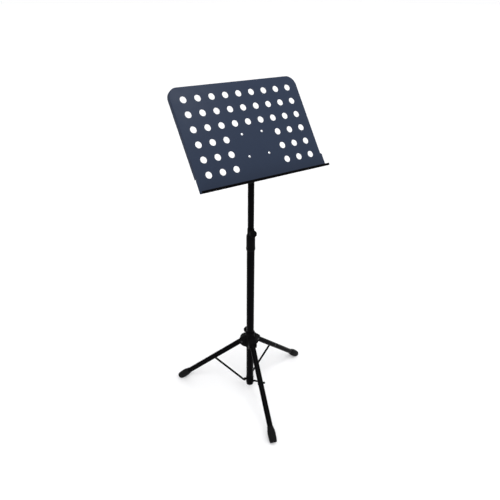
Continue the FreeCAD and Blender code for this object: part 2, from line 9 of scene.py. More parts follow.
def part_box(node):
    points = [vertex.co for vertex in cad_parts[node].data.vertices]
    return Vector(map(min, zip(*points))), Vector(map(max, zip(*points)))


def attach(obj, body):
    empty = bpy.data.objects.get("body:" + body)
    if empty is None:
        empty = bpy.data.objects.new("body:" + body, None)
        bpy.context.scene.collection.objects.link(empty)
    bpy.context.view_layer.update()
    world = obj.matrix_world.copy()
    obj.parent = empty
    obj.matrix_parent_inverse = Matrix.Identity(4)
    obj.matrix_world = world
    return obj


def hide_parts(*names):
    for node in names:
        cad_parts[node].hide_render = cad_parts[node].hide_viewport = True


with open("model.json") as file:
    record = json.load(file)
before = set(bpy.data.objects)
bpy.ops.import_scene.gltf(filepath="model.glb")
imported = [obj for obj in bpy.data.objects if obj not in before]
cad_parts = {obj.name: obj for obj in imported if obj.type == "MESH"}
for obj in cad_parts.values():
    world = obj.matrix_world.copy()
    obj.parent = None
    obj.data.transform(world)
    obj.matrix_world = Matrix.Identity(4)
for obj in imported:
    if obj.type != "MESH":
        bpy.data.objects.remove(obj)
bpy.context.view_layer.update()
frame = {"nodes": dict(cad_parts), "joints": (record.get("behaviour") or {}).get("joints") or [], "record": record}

# Lengths are metres; MM turns the drawing sizes of the stand into them. +Z is up, the mast's axis
# is x = y = 0, and the desk faces -Y. Every piece is made in its resting place.
MM = 0.001
X, Y, Z = Vector((1, 0, 0)), Vector((0, 1, 0)), Vector((0, 0, 1))
JOINTS = {joint["name"]: joint for joint in frame["joints"]}

# ---- desk sizes ----
HOLE_PITCH_X = 49.0 * MM
HOLE_PITCH_V = 47.5 * MM
HOLE_COLUMNS = 9
FULL_ROWS = 3
SIDE_ROWS = 3
SIDE_COLUMNS = 3
HOLE_R = 10.7 * MM
SHEET = 1.2 * MM
DESK_LEAN = math.radians(35.0)
PANEL_HALF_W = 239.0 * MM
PANEL_TOP = 160.0 * MM
PANEL_BOTTOM = -168.0 * MM
PANEL_CORNER_R = 34.0 * MM
RETURN_DEPTH = 14.0 * MM
BEND_R = 2.6 * MM
EAR_HEIGHT = 45.0 * MM
EAR_HALF_W = 242.98 * MM
EAR_SHOULDER_R = 6.4 * MM
LEDGE_DEPTH = 33.0 * MM
LEDGE_OPEN = math.radians(12.0)
LEDGE_LIP = 7.0 * MM
LEDGE_CORNER_R = 22.0 * MM
LEDGE_FLANGE = 18.0 * MM
TILT_BELOW_CENTRE = 51.0 * MM
TILT_BEHIND_FRONT = 29.4 * MM
RIVETS_X = 75.7 * MM
RIVETS_V = 73.7 * MM
RIVET_HEAD_R = 4.0 * MM

# ---- tripod sizes ----
LEG_SPREAD = math.radians(49.0)
LEG_R = 10.0 * MM
LEG_WALL = 1.2 * MM
LEG_TUBE_START = 14.0 * MM
LEG_TUBE_END = 333.0 * MM
FOOT_START = 299.0 * MM
FOOT_END = 355.0 * MM
BRACE_R = 3.9 * MM
BRACE_SIDE = 14.4 * MM
BRACE_ATTACH = 145.5 * MM
BRACE_PIVOT_R = 18.5 * MM
BRACE_PIVOT_Z = 50.0 * MM
BRACE_GAP = 0.35 * MM
EAR_HALF = 14.5 * MM
SLOT_HALF = 10.5 * MM
PLACES = ("front", "right", "left")


# ==== materials ==============================================================================
class Level:
    """A number socket that takes part in Python arithmetic by adding Math nodes."""

    def __init__(self, finish, socket):
        self.finish = finish
        self.socket = socket

    def with_math(self, operation, *values):
        return self.finish.node("ShaderNodeMath", {"operation": operation}, dict(enumerate(values)))

    def __add__(self, other):
        return self.with_math("ADD", self, other)

    def __sub__(self, other):
        return self.with_math("SUBTRACT", self, other)

    def __rsub__(self, other):
        return self.with_math("SUBTRACT", other, self)

    def __mul__(self, other):
        return self.with_math("MULTIPLY", self, other)

    __radd__ = __add__
    __rmul__ = __mul__


class Finish:
    """A procedural material: one Principled shader and the nodes that feed it."""

    def __init__(self, name, **constants):
        self.material = bpy.data.materials.new(name)
        self.material.use_nodes = True
        self.tree = self.material.node_tree
        self.shader = self.tree.nodes["Principled BSDF"]
        for socket, value in constants.items():
            self.shader.inputs[socket.replace("_", " ")].default_value = value
        self.place = self.node("ShaderNodeTexCoord", {}, {}, "Object")

    def node(self, kind, settings, inputs, output=0):
        """Any node: its settings first, then values or links for its sockets."""
        made = self.tree.nodes.new(kind)
        for setting, value in settings.items():
            if setting == "stops":
                set_stops(made.color_ramp, value)
            else:
                setattr(made, setting, value)
        for socket, value in inputs.items():
            self.feed(made.inputs[socket], value)
        return Level(self, made.outputs[output])

    def feed(self, socket, value):
        if isinstance(value, Level):
            self.tree.links.new(value.socket, socket)
        else:
            socket.default_value = value

    def noise(self, scale, detail=2.0, roughness=0.5, place=None):
        inputs = {"Vector": place or self.place, "Scale": scale, "Detail": detail, "Roughness": roughness}
        return self.node("ShaderNodeTexNoise", {}, inputs)

    def stretched(self, amount):
        """Object coordinates scaled by a different amount along each axis."""
        return self.node("ShaderNodeMapping", {}, {"Vector": self.place, "Scale": amount})

    def ramp(self, level, stops):
        return self.node("ShaderNodeValToRGB", {"stops": stops}, {"Fac": level})

    def blend(self, amount, first, second):
        settings = {"data_type": "RGBA"}
        return self.node("ShaderNodeMix", settings, {"Factor": amount, 6: first, 7: second}, 2)

    def drive(self, **levels):
        for socket, level in levels.items():
            self.feed(self.shader.inputs[socket.replace("_", " ")], level)

    def bump(self, height, strength, distance):
        inputs = {"Height": height, "Strength": strength, "Distance": distance}
        self.drive(Normal=self.node("ShaderNodeBump", {}, inputs))


def set_stops(ramp, stops):
    """Fills a colour ramp from (position, grey) pairs."""
    while len(ramp.elements) < len(stops):
        ramp.elements.new(1.0)
    for element, (position, grey) in zip(ramp.elements, stops):
        element.position = position
        element.color = (grey, grey, grey, 1.0)


def powder_coat(name, dark, light, rough_low, rough_high, peel, specular):
    """Baked powder coat: fine orange peel, faint clouding and a few dull rubbed patches."""
    finish = Finish(name, Specular_IOR_Level=specular)
    cloud = finish.noise(9.0, 3.0)
    speck = finish.noise(900.0, 1.0)
    finish.drive(Base_Color=finish.blend(cloud * 0.6 + speck * 0.4, dark, light))
    rubbed = finish.ramp(finish.noise(22.0, 5.0, 0.65), [(0.45, 0.0), (0.75, 1.0)])
    finish.drive(Roughness=rubbed * (rough_high - rough_low) + rough_low)
    finish.bump(finish.noise(520.0, 2.0, 0.55), peel, 0.25 * MM)
    return finish.material


def moulded_plastic():
    """Fine spark-eroded grain of a glass-filled nylon moulding."""
    finish = Finish("moulded_plastic", Specular_IOR_Level=0.03)
    grain = finish.noise(1500.0, 3.0, 0.6)
    drift = finish.noise(35.0, 2.0)
    finish.drive(Base_Color=finish.blend(drift, (0.0014, 0.0013, 0.0016, 1), (0.0028, 0.0026, 0.0031, 1)))
    finish.drive(Roughness=grain * 0.16 + 0.40)
    finish.bump(grain, 0.35, 0.12 * MM)
    return finish.material


def foot_rubber():
    """Matt rubber with a dusty bloom that gathers low down, near the floor."""
    finish = Finish("foot_rubber", Specular_IOR_Level=0.08)
    height = finish.node("ShaderNodeSeparateXYZ", {}, {"Vector": finish.place}, "Z")
    low = finish.ramp(height * 30.0, [(0.0, 1.0), (0.55, 0.0)])
    dust = low * finish.noise(160.0, 4.0, 0.7)
    finish.drive(Base_Color=finish.blend(dust * 0.5, (0.0045, 0.0045, 0.0048, 1), (0.026, 0.025, 0.024, 1)))
    finish.drive(Roughness=finish.noise(300.0, 3.0) * 0.2 + 0.58)
    finish.bump(finish.noise(700.0, 4.0, 0.6), 0.4, 0.15 * MM)
    return finish.material


def plated_steel(name, dark, light, rough):
    """Barrel-plated steel: soft mottling and very fine scratches."""
    finish = Finish(name, Metallic=1.0)
    mottle = finish.noise(420.0, 4.0, 0.6)
    scratch = finish.noise(1.0, 3.0, 0.6, finish.stretched((2600.0, 260.0, 900.0)))
    finish.drive(Base_Color=finish.blend(mottle, dark, light))
    finish.drive(Roughness=scratch * 0.18 + rough)
    finish.bump(scratch, 0.15, 0.05 * MM)
    return finish.material


MATERIALS = {
    "desk_coat": powder_coat("desk_powder_coat", (0.0165, 0.0245, 0.0455, 1), (0.0208, 0.0305, 0.0550, 1),
                             0.36, 0.46, 0.16, 0.08),
    "black_coat": powder_coat("black_powder_coat", (0.0012, 0.0011, 0.0014, 1), (0.0024, 0.0022, 0.0027, 1),
                              0.22, 0.32, 0.12, 0.02),
    "black_plastic": moulded_plastic(),
    "foot_rubber": foot_rubber(),
    "zinc": plated_steel("bright_zinc", (0.52, 0.53, 0.55, 1), (0.74, 0.75, 0.77, 1), 0.22),
    "zinc_black": plated_steel("black_zinc", (0.018, 0.018, 0.020, 1), (0.040, 0.040, 0.043, 1), 0.30),
    "brass_insert": plated_steel("turned_brass", (0.55, 0.39, 0.16, 1), (0.72, 0.53, 0.24, 1), 0.25),
}


# ==== making pieces ===========================================================================
def as_piece(name, bm, body, slot, *nodes, sharp=30.0):
    """A finished bmesh becomes one piece that rides on a body and stands for CAD nodes."""
    mesh = bpy.data.meshes.new(name)
    bm.to_mesh(mesh)
    bm.free()
    mesh.materials.append(MATERIALS[slot])
    mesh.shade_smooth()
    mesh.set_sharp_from_angle(angle=math.radians(sharp))
    piece = bpy.data.objects.new(name, mesh)
    bpy.context.scene.collection.objects.link(piece)
    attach(piece, body)
    if nodes:
        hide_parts(*nodes)
    return piece


def basis(origin, x_axis, y_axis, z_axis):
    """The matrix that carries a local drawing onto three axes at a point."""
    matrix = Matrix((x_axis, y_axis, z_axis)).transposed().to_4x4()
    matrix.translation = origin
    return matrix


def pointing(origin, way):
    """A local frame whose +Z points a given way."""
    return Matrix.Translation(origin) @ way.to_track_quat("Z", "Y").to_matrix().to_4x4()


def filleted(corners, steps=5):
    """A 2-D outline from (a, b, radius) corners, each radius drawn as an arc."""
    outline = []
    count = len(corners)
    for i, (a, b, radius) in enumerate(corners):
        here = Vector((a, b))
        if radius == 0.0:
            outline.append(here)
            continue
        before = (Vector(corners[i - 1][:2]) - here).normalized()
        after = (Vector(corners[(i + 1) % count][:2]) - here).normalized()
        half = before.angle(after) / 2
        centre = here + (before + after).normalized() * (radius / math.sin(half))
        first = here + before * (radius / math.tan(half)) - centre
        last = here + after * (radius / math.tan(half)) - centre
        sweep = first.angle_signed(last)
        for step in range(steps + 1):
            outline.append(centre + Matrix.Rotation(-sweep * step / steps, 2) @ first)
    return outline


def lathe(corners, place=Matrix(), closed=True, segments=64, steps=5):
    """Spins a filleted (radius, height) outline about local Z, then puts it in its place."""
    bm = bmesh.new()
    verts = [bm.verts.new((r, 0.0, z)) for r, z in filleted(corners, steps)]
    chain = verts + verts[:1] if closed else verts
    edges = [bm.edges.new(pair) for pair in zip(chain, chain[1:])]
    bmesh.ops.spin(bm, geom=verts + edges, cent=(0, 0, 0), axis=(0, 0, 1), angle=2 * math.pi,
                   steps=segments, use_merge=True)
    return tidied(bm, place)


def tidied(bm, place=Matrix()):
    """Merges doubles, turns the faces outwards and puts the mesh in its place."""
    bmesh.ops.remove_doubles(bm, verts=bm.verts, dist=0.002 * MM)
    loose = [face for face in bm.faces if face.calc_area() < 1e-14]
    bmesh.ops.delete(bm, geom=loose, context="FACES_ONLY")
    bmesh.ops.recalc_face_normals(bm, faces=bm.faces)
    bmesh.ops.transform(bm, matrix=place, verts=bm.verts)
    return bm


def prism(outline, low, high, place=Matrix()):
    """A closed plate: a filleted outline in local X-Z, from y = low to y = high."""
    bm = bmesh.new()
    face = bm.faces.new([bm.verts.new((a, low, b)) for a, b in filleted(outline)])
    pushed = bmesh.ops.extrude_face_region(bm, geom=[face])["geom"]
    moved = [item for item in pushed if isinstance(item, bmesh.types.BMVert)]
    bmesh.ops.translate(bm, verts=moved, vec=(0, high - low, 0))
    return tidied(bm, place)


def joined(parts):
    """Several bmeshes in one."""
    whole = bmesh.new()
    for part in parts:
        carrier = bpy.data.meshes.new("part")
        part.to_mesh(carrier)
        part.free()
        whole.from_mesh(carrier)
        bpy.data.meshes.remove(carrier)
    return whole


def melted(parts, voxel, smoothing):
    """Closed shells run together into one moulding with soft inner and outer corners."""
    shell = bpy.data.meshes.new("melt")
    whole = joined(parts)
    whole.to_mesh(shell)
    whole.free()
    carrier = bpy.data.objects.new("melt", shell)
    bpy.context.scene.collection.objects.link(carrier)
    remesh = carrier.modifiers.new("remesh", "REMESH")
    remesh.mode = "VOXEL"
    remesh.voxel_size = voxel
    smooth = carrier.modifiers.new("smooth", "SMOOTH")
    smooth.factor = 0.5
    smooth.iterations = smoothing
    bpy.context.view_layer.update()
    result = bpy.data.meshes.new_from_object(carrier.evaluated_get(bpy.context.evaluated_depsgraph_get()))
    bm = bmesh.new()
    bm.from_mesh(result)
    bpy.data.objects.remove(carrier)
    bpy.data.meshes.remove(shell)
    bpy.data.meshes.remove(result)
    return bm


def swept(points, radius, bends):
    """A round rod along straight runs joined by arcs, with closed ends."""
    curve = bpy.data.curves.new("rod", "CURVE")
    curve.dimensions = "3D"
    curve.bevel_depth = radius
    curve.bevel_resolution = 6
    curve.use_fill_caps = True
    path = arced(points, bends)
    spline = curve.splines.new("POLY")
    spline.points.add(len(path) - 1)
    for point, at in zip(spline.points, path):
        point.co = (*at, 1.0)
    carrier = bpy.data.objects.new("rod", curve)
    bpy.context.scene.collection.objects.link(carrier)
    bpy.context.view_layer.update()
    result = bpy.data.meshes.new_from_object(carrier.evaluated_get(bpy.context.evaluated_depsgraph_get()))
    bm = bmesh.new()
    bm.from_mesh(result)
    bpy.data.objects.remove(carrier)
    bpy.data.curves.remove(curve)
    bpy.data.meshes.remove(result)
    return tidied(bm)


def arced(points, bends, steps=8):
    """Points of a path whose inner corners are turned by arcs, one radius for each corner."""
    path = [points[0]]
    for before, here, after, bend in zip(points, points[1:], points[2:], bends):
        back, on = (before - here).normalized(), (after - here).normalized()
        half = back.angle(on) / 2
        centre = here + (back + on).normalized() * (bend / math.sin(half))
        first = here + back * (bend / math.tan(half)) - centre
        last = here + on * (bend / math.tan(half)) - centre
        axis = first.cross(last)
        sweep = math.pi - 2 * half
        path += [centre + Matrix.Rotation(sweep * i / steps, 3, axis) @ first for i in range(steps + 1)]
    return path + [points[-1]]


def softened(name, node, body, slot, width, segments=2):
    """A CAD shape with its edges broken: merged, its flat faces joined, and bevelled."""
    bm = bmesh.new()
    bm.from_mesh(frame["nodes"][node].data)
    bmesh.ops.remove_doubles(bm, verts=bm.verts, dist=0.005 * MM)
    bmesh.ops.dissolve_limit(bm, angle_limit=math.radians(1.0), verts=bm.verts, edges=bm.edges)
    piece = as_piece(name, bm, body, slot, node)
    round_off(piece, width, segments)
    return piece


def round_off(piece, width, segments=2, angle=35.0):
    """Breaks a piece's sharp edges."""
    bevel = piece.modifiers.new("broken_edges", "BEVEL")
    bevel.width = width
    bevel.segments = segments
    bevel.limit_method = "ANGLE"
    bevel.angle_limit = math.radians(angle)
    bevel.harden_normals = True


# ==== the desk: drawn flat, up the slope along local Y, then leaned back ========================
def desk_place():
    """The desk's own frame, centred on its hole grid, in the stand."""
    turn = Matrix.Rotation(math.pi / 2 - DESK_LEAN, 4, "X")
    tilt = Vector(JOINTS["desk_tilt"]["pos_m"])
    return Matrix.Translation(tilt + turn @ Vector((0, TILT_BELOW_CENTRE, TILT_BEHIND_FRONT))) @ turn


DESK = desk_place()


def hole_centres():
    rows = FULL_ROWS + SIDE_ROWS
    for row in range(rows):
        for column in range(HOLE_COLUMNS):
            beside = column < SIDE_COLUMNS or column >= HOLE_COLUMNS - SIDE_COLUMNS
            if row < FULL_ROWS or beside:
                yield ((column - (HOLE_COLUMNS - 1) / 2) * HOLE_PITCH_X,
                       ((rows - 1) / 2 - row) * HOLE_PITCH_V)


def rivet_centres():
    for side in (-1, 1):
        for end in (-1, 1):
            yield side * RIVETS_X / 2, -TILT_BELOW_CENTRE + end * RIVETS_V / 2


def outward(core_x, core_y):
    """The way out from a rounded rectangle's rim: the way from its straight part's nearest point."""
    def way(home):
        near = Vector((max(-core_x, min(core_x, home.x)), min(core_y, home.y), home.z))
        return (home - near).normalized()
    return way


def fold(bm, edges, way, bend, run, angle=math.pi / 2, steps=5):
    """Bends a sheet's rim towards local -Z through an angle, then carries it straight on."""
    turns = [angle * (i + 1) / steps for i in range(steps)]
    stations = [(bend * math.sin(t), -bend * (1 - math.cos(t))) for t in turns]
    out, down = stations[-1]
    stations.append((out + run * math.cos(angle), down - run * math.sin(angle)))
    homes = {vert: vert.co.copy() for edge in edges for vert in edge.verts}
    current = list(edges)
    for out, down in stations:
        pushed = bmesh.ops.extrude_edge_only(bm, edges=current)["geom"]
        fresh = [item for item in pushed if isinstance(item, bmesh.types.BMVert)]
        moved = {}
        for vert in fresh:
            source = next(edge.other_vert(vert) for edge in vert.link_edges
                          if edge.other_vert(vert) in homes)
            moved[vert] = homes[source]
            vert.co = homes[source] + way(homes[source]) * out + Z * down
        homes = moved
        current = [item for item in pushed if isinstance(item, bmesh.types.BMEdge)
                   and all(vert in homes for vert in item.verts)]


def facing_up(bm):
    """Turns an open sheet's faces so that its flat part looks along local +Z."""
    bmesh.ops.recalc_face_normals(bm, faces=bm.faces)
    if sum(face.normal.z * face.calc_area() for face in bm.faces) < 0:
        bmesh.ops.reverse_faces(bm, faces=bm.faces)
    return bm


def sheet_metal(piece):
    """Gives a folded sheet its thickness, inwards, and breaks its cut edges."""
    wall = piece.modifiers.new("sheet", "SOLIDIFY")
    wall.thickness = SHEET
    wall.offset = -1.0
    wall.use_even_offset = True
    round_off(piece, 0.25 * MM, 2, 50.0)


def desk_panel():
    """Perforated sheet: flat face, folded sides and top, flat ears below the folds."""
    bm = bmesh.new()
    ear_top = PANEL_BOTTOM + EAR_HEIGHT
    inner_w, inner_top = PANEL_HALF_W - BEND_R, PANEL_TOP - BEND_R
    corner = PANEL_CORNER_R - BEND_R
    outline = filleted([(inner_w, ear_top, 0.0), (inner_w, inner_top, corner), (-inner_w, inner_top, corner),
                        (-inner_w, ear_top, 0.0), (-EAR_HALF_W, ear_top, EAR_SHOULDER_R),
                        (-EAR_HALF_W, PANEL_BOTTOM, 0.6 * MM), (EAR_HALF_W, PANEL_BOTTOM, 0.6 * MM),
                        (EAR_HALF_W, ear_top, EAR_SHOULDER_R)], steps=10)
    verts = [bm.verts.new((a, b, 0.0)) for a, b in outline]
    rim = [bm.edges.new(pair) for pair in zip(verts, verts[1:] + verts[:1])]
    folded = [edge for edge in rim
              if all(vert.co.y > ear_top - 1e-6 and abs(vert.co.x) < inner_w + 1e-6 for vert in edge.verts)]
    for x, v in hole_centres():
        spot = Matrix.Translation((x, v, 0))
        bmesh.ops.create_circle(bm, cap_ends=False, segments=48, radius=HOLE_R, matrix=spot)
    bmesh.ops.triangle_fill(bm, use_beauty=True, use_dissolve=False, edges=bm.edges[:])
    way = outward(PANEL_HALF_W - PANEL_CORNER_R, PANEL_TOP - PANEL_CORNER_R)
    fold(bm, folded, way, BEND_R, RETURN_DEPTH - BEND_R)
    bmesh.ops.transform(facing_up(bm), matrix=DESK, verts=bm.verts)
    sheet_metal(as_piece("perforated_panel", bm, "desk", "desk_coat", "desk_panel"))


def desk_ledge():
    """Shelf whose front and rounded corners turn up in a lip, and whose back turns up as a flange.

    It is drawn by its underside, in a frame that lies along the shelf."""
    bm = bmesh.new()
    bend = 2.0 * MM
    front, half = LEDGE_DEPTH - bend, EAR_HALF_W - bend
    lip_start = LEDGE_DEPTH - LEDGE_CORNER_R
    corner = LEDGE_CORNER_R - bend
    rear_turn = math.pi / 2 - LEDGE_OPEN
    knee = SHEET * (math.sin(LEDGE_OPEN) - 2) / math.cos(LEDGE_OPEN)
    back = knee + bend * math.tan(rear_turn / 2)
    outline = filleted([(EAR_HALF_W, back, 0.0), (EAR_HALF_W, lip_start - 1.0 * MM, 0.0),
                        (half, lip_start, 0.0), (half, front, corner),
                        (-half, front, corner), (-half, lip_start, 0.0),
                        (-EAR_HALF_W, lip_start - 1.0 * MM, 0.0), (-EAR_HALF_W, back, 0.0)], steps=14)
    bm.faces.new([bm.verts.new((a, b, 0.0)) for a, b in outline])
    tidied(bm)
    lip = [edge for edge in bm.edges if all(vert.co.y > lip_start - 1e-6 for vert in edge.verts)]
    rear = [edge for edge in bm.edges if all(vert.co.y < back + 1e-6 for vert in edge.verts)]
    fold(bm, lip, outward(EAR_HALF_W - LEDGE_CORNER_R, lip_start), bend, SHEET + LEDGE_LIP - bend)
    fold(bm, rear, lambda home: -Y, bend, LEDGE_FLANGE - SHEET, rear_turn)
    hinge = Matrix.Translation((0, PANEL_BOTTOM, 0)) @ Matrix.Rotation(LEDGE_OPEN, 4, "X")
    place = DESK @ hinge @ basis(Vector((0, -SHEET, 0)), X, Z, -Y)
    bmesh.ops.transform(facing_up(bm), matrix=place, verts=bm.verts)
    sheet_metal(as_piece("music_ledge", bm, "desk", "black_coat", "desk_ledge"))


def button(radius, height, shank_r, depth, place):
    """A rivet or pin head: a low dome on a shank, standing on the local X-Y plane."""
    dome = [(radius * math.cos(t), height * math.sin(t), 0.0) for t in (math.pi / 2 * i / 7 for i in range(7))]
    return lathe([(0, -depth, 0), (shank_r, -depth, 0), (shank_r, 0, 0)] + dome + [(0, height, 0)],
                 place, closed=False, segments=32)


def bracket_rivets():
    """Four bright raised heads in front of the panel, with peened tails behind the bracket."""
    heads = []
    behind = SHEET + 2.0 * MM
    for x, v in rivet_centres():
        heads.append(button(RIVET_HEAD_R, 0.9 * MM, 2.0 * MM, behind, DESK @ Matrix.Translation((x, v, 0))))
        tail = DESK @ Matrix.Translation((x, v, -behind)) @ Matrix.Rotation(math.pi, 4, "X")
        heads.append(button(RIVET_HEAD_R * 0.82, 1.1 * MM, 2.0 * MM, 0.5 * MM, tail))
    as_piece("desk_rivets", joined(heads), "desk", "zinc", "bracket_rivets")


def knob(name, body, place, radius, length, *nodes):
    """Hand knob standing on local Z = 0: narrow collar, eight-lobed grip and a dished cap."""
    neck = radius * 0.55
    outline = [(0, 0, 0), (neck, 0, 0.4 * MM), (neck, length * 0.18, 0.8 * MM),
               (radius, length * 0.30, 2.2 * MM), (radius, length, 2.4 * MM),
               (radius * 0.66, length, 0.8 * MM), (radius * 0.60, length - 0.9 * MM, 0.8 * MM),
               (0, length - 0.9 * MM, 0)]
    bm = lathe(outline, closed=False, segments=96, steps=6)
    for vert in bm.verts:
        reach = math.hypot(vert.co.x, vert.co.y)
        turn = math.atan2(vert.co.y, vert.co.x)
        groove = (0.5 + 0.5 * math.cos(8 * turn)) ** 4
        edge = max(0.0, (reach / radius - 0.72) / 0.28)
        scale = 1.0 - 0.13 * groove * min(1.0, edge)
        vert.co.x *= scale
        vert.co.y *= scale
    bmesh.ops.transform(bm, matrix=place, verts=bm.verts)
    return as_piece(name, bm, body, "black_plastic", *nodes, sharp=50.0)


def make_desk():
    desk_panel()
    desk_ledge()
    bracket_rivets()
    softened("clevis_bracket", "tilt_bracket", "desk", "black_coat", 0.5 * MM)
    softened("tilt_pivot_bolt", "tilt_bolt", "desk", "zinc", 0.25 * MM)
    softened("outer_washer", "tilt_washer", "desk", "zinc", 0.2 * MM)
    low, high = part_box("tilt_knob")
    middle = (low + high) / 2
    place = pointing(Vector((low.x, middle.y, middle.z)), X)
    knob("tilt_hand_knob", "tilt_knob", place, (high.z - low.z) / 2, high.x - low.x, "tilt_knob")


# ==== the mast ==================================================================================
def hollow(name, node, body, slot, wall, rim):
    """A round tube on the mast's axis, as long and as wide as its CAD node."""
    low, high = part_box(node)
    radius = (high.x - low.x) / 2
    outline = [(radius - wall, low.z, 0), (radius, low.z, rim), (radius, high.z, rim),
               (radius - wall, high.z, 0)]
    as_piece(name, lathe(outline, segments=72), body, slot, node)


def radial(joint):
    """The local frame of a clamp screw: on the mast's axis at the screw's height, +Z outwards."""
    axis = Vector(JOINTS[joint]["axis"])
    return pointing(Vector((0, 0, JOINTS[joint]["pos_m"][2])), axis)


def clutch():
    """Sleeve with a thick lower bead, guide neck and flared screw boss."""
    low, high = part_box("clutch_housing")
    bore, seat, mouth = 11.08 * MM, 14.0 * MM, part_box("lower_tube")[1].z
    foot, top = low.z, high.z
    outline = [(seat, foot, 0), (14.8 * MM, foot, 0.4 * MM), (16.6 * MM, foot + 6.5 * MM, 1.5 * MM),
               (16.6 * MM, foot + 11 * MM, 1.2 * MM), (15.8 * MM, foot + 14 * MM, 1.0 * MM),
               (15.55 * MM, foot + 57 * MM, 3.0 * MM), (12.5 * MM, foot + 65 * MM, 2.5 * MM),
               (12.1 * MM, top, 0.7 * MM), (bore, top, 0.3 * MM), (bore, mouth, 0), (seat, mouth, 0)]
    as_piece("clutch_sleeve", lathe(outline, segments=96), "mast", "black_plastic", "clutch_housing")
    place = radial("clutch_knob_turn")
    boss = [(3.3 * MM, 11.4 * MM, 0), (10.8 * MM, 11.4 * MM, 0), (9.6 * MM, 14.6 * MM, 2.5 * MM),
            (7.9 * MM, 20.0 * MM, 0.7 * MM), (3.3 * MM, 20.0 * MM, 0)]
    as_piece("clutch_boss", lathe(boss, place), "mast", "black_plastic", "clutch_housing")
    grip = place @ Matrix.Translation((0, 0, 21.0 * MM))
    knob("clutch_hand_knob", "clutch_knob", grip, 12.5 * MM, 15.0 * MM, "clutch_knob")


def make_mast():
    hollow("inner_tube", "upper_tube", "upper_mast", "black_coat", 1.2 * MM, 0.4 * MM)
    hollow("outer_tube", "lower_tube", "mast", "black_coat", 1.2 * MM, 0.3 * MM)
    low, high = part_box("lower_end_plug")
    plug = [(0, low.z, 0), (13.9 * MM, low.z, 1.6 * MM), (13.9 * MM, low.z + 3 * MM, 0.2 * MM),
            (12.8 * MM, low.z + 3 * MM, 0), (12.8 * MM, high.z, 0.5 * MM), (0, high.z, 0)]
    as_piece("tube_end_plug", lathe(plug, closed=False), "mast", "black_plastic", "lower_end_plug")
    softened("tilt_tongue", "tilt_head", "upper_mast", "black_plastic", 0.7 * MM, 3)
    softened("tongue_rivet", "head_rivet", "upper_mast", "zinc_black", 0.5 * MM, 3)
    clutch()


# ==== the tripod ================================================================================
def leg_axes(place):
    """Radial, tangential and downward directions and the pivot of one leg."""
    joint = JOINTS["leg_%s_fold" % place]
    tangent = Vector(joint["axis"]).normalized()
    return tangent.cross(Z), tangent, Vector(joint["pos_m"])


def leg_place(place):
    """A leg's frame: +Z down the leg from its pivot, +Y along its pivot pin."""
    out, tangent, pivot = leg_axes(place)
    down = out * math.sin(LEG_SPREAD) - Z * math.cos(LEG_SPREAD)
    return basis(pivot, tangent.cross(down), tangent, down)


def standing(place):
    """A frame on the mast's axis with +X out towards one leg and +Z up."""
    out, tangent, pivot = leg_axes(place)
    return basis(Vector((0, 0, 0)), out, tangent, Z)


def rubber_foot(place):
    """Bulbous foot with a beaded mouth, cut flat where it stands on the floor."""
    a = FOOT_START
    outline = [(0, LEG_TUBE_END, 0), (LEG_R, LEG_TUBE_END, 0), (LEG_R, a, 0.3 * MM), (11.2 * MM, a, 0.6 * MM),
               (11.6 * MM, a + 3.0 * MM, 0.7 * MM), (11.2 * MM, a + 4.2 * MM, 0.5 * MM),
               (11.7 * MM, a + 7 * MM, 4 * MM), (13.8 * MM, a + 15 * MM, 8 * MM),
               (14.7 * MM, a + 26 * MM, 20 * MM), (14.3 * MM, a + 38 * MM, 20 * MM),
               (13.2 * MM, a + 50 * MM, 12 * MM), (12.1 * MM, FOOT_END, 1.5 * MM),
               (8.0 * MM, FOOT_END, 0.5 * MM), (7.4 * MM, FOOT_END - 0.8 * MM, 0.4 * MM), (0, FOOT_END - 0.8 * MM, 0)]
    bm = lathe(outline, leg_place(place), closed=False, segments=72, steps=8)
    cut = bmesh.ops.bisect_plane(bm, geom=bm.verts[:] + bm.edges[:] + bm.faces[:], plane_co=(0, 0, 0),
                                 plane_no=(0, 0, 1), clear_inner=True)["geom_cut"]
    bmesh.ops.edgeloop_fill(bm, edges=[item for item in cut if isinstance(item, bmesh.types.BMEdge)])
    as_piece("foot_" + place, tidied(bm), "leg_" + place, "foot_rubber", "rubber_foot_" + place, sharp=40.0)


def brace(place):
    """Round rod, hooked through the collar's lug below and bent in beside the leg above."""
    out, tangent, pivot = leg_axes(place)
    low = out * BRACE_PIVOT_R + Z * BRACE_PIVOT_Z + tangent * BRACE_SIDE
    high = leg_place(place) @ Vector((0, BRACE_SIDE, BRACE_ATTACH))
    reach = BRACE_SIDE - LEG_R - BRACE_GAP
    rod = swept([low - tangent * reach, low, high, high - tangent * reach], BRACE_R, [4.0 * MM, 4.0 * MM])
    hook = [(0, 0, 0), (2.5 * MM, 0, 0), (2.5 * MM, 12.1 * MM, 0.6 * MM), (0, 12.1 * MM, 0)]
    pin = lathe(hook, pointing(low, -tangent), closed=False, segments=32)
    as_piece("brace_rod_" + place, joined([rod, pin]), "brace_" + place, "black_coat", "brace_" + place)


def make_leg(place):
    body = "leg_" + place
    frame_of_leg = leg_place(place)
    tube = [(LEG_R - LEG_WALL, LEG_TUBE_START, 0), (LEG_R, LEG_TUBE_START, 0.4 * MM),
            (LEG_R, LEG_TUBE_END, 0.3 * MM), (LEG_R - LEG_WALL, LEG_TUBE_END, 0)]
    as_piece("tube_of_leg_" + place, lathe(tube, frame_of_leg), body, "black_coat", "leg_tube_" + place)
    softened("knuckle_" + place, "leg_knuckle_" + place, body, "black_plastic", 0.6 * MM)
    side = frame_of_leg @ basis(Vector((0, 0.4 * MM - LEG_R, BRACE_ATTACH)), X, Z, -Y)
    cap = button(4.1 * MM, 2.3 * MM, 2.0 * MM, 1.0 * MM, side)
    as_piece("rivet_cap_" + place, cap, body, "zinc_black", "brace_cap_" + place)
    rubber_foot(place)
    brace(place)


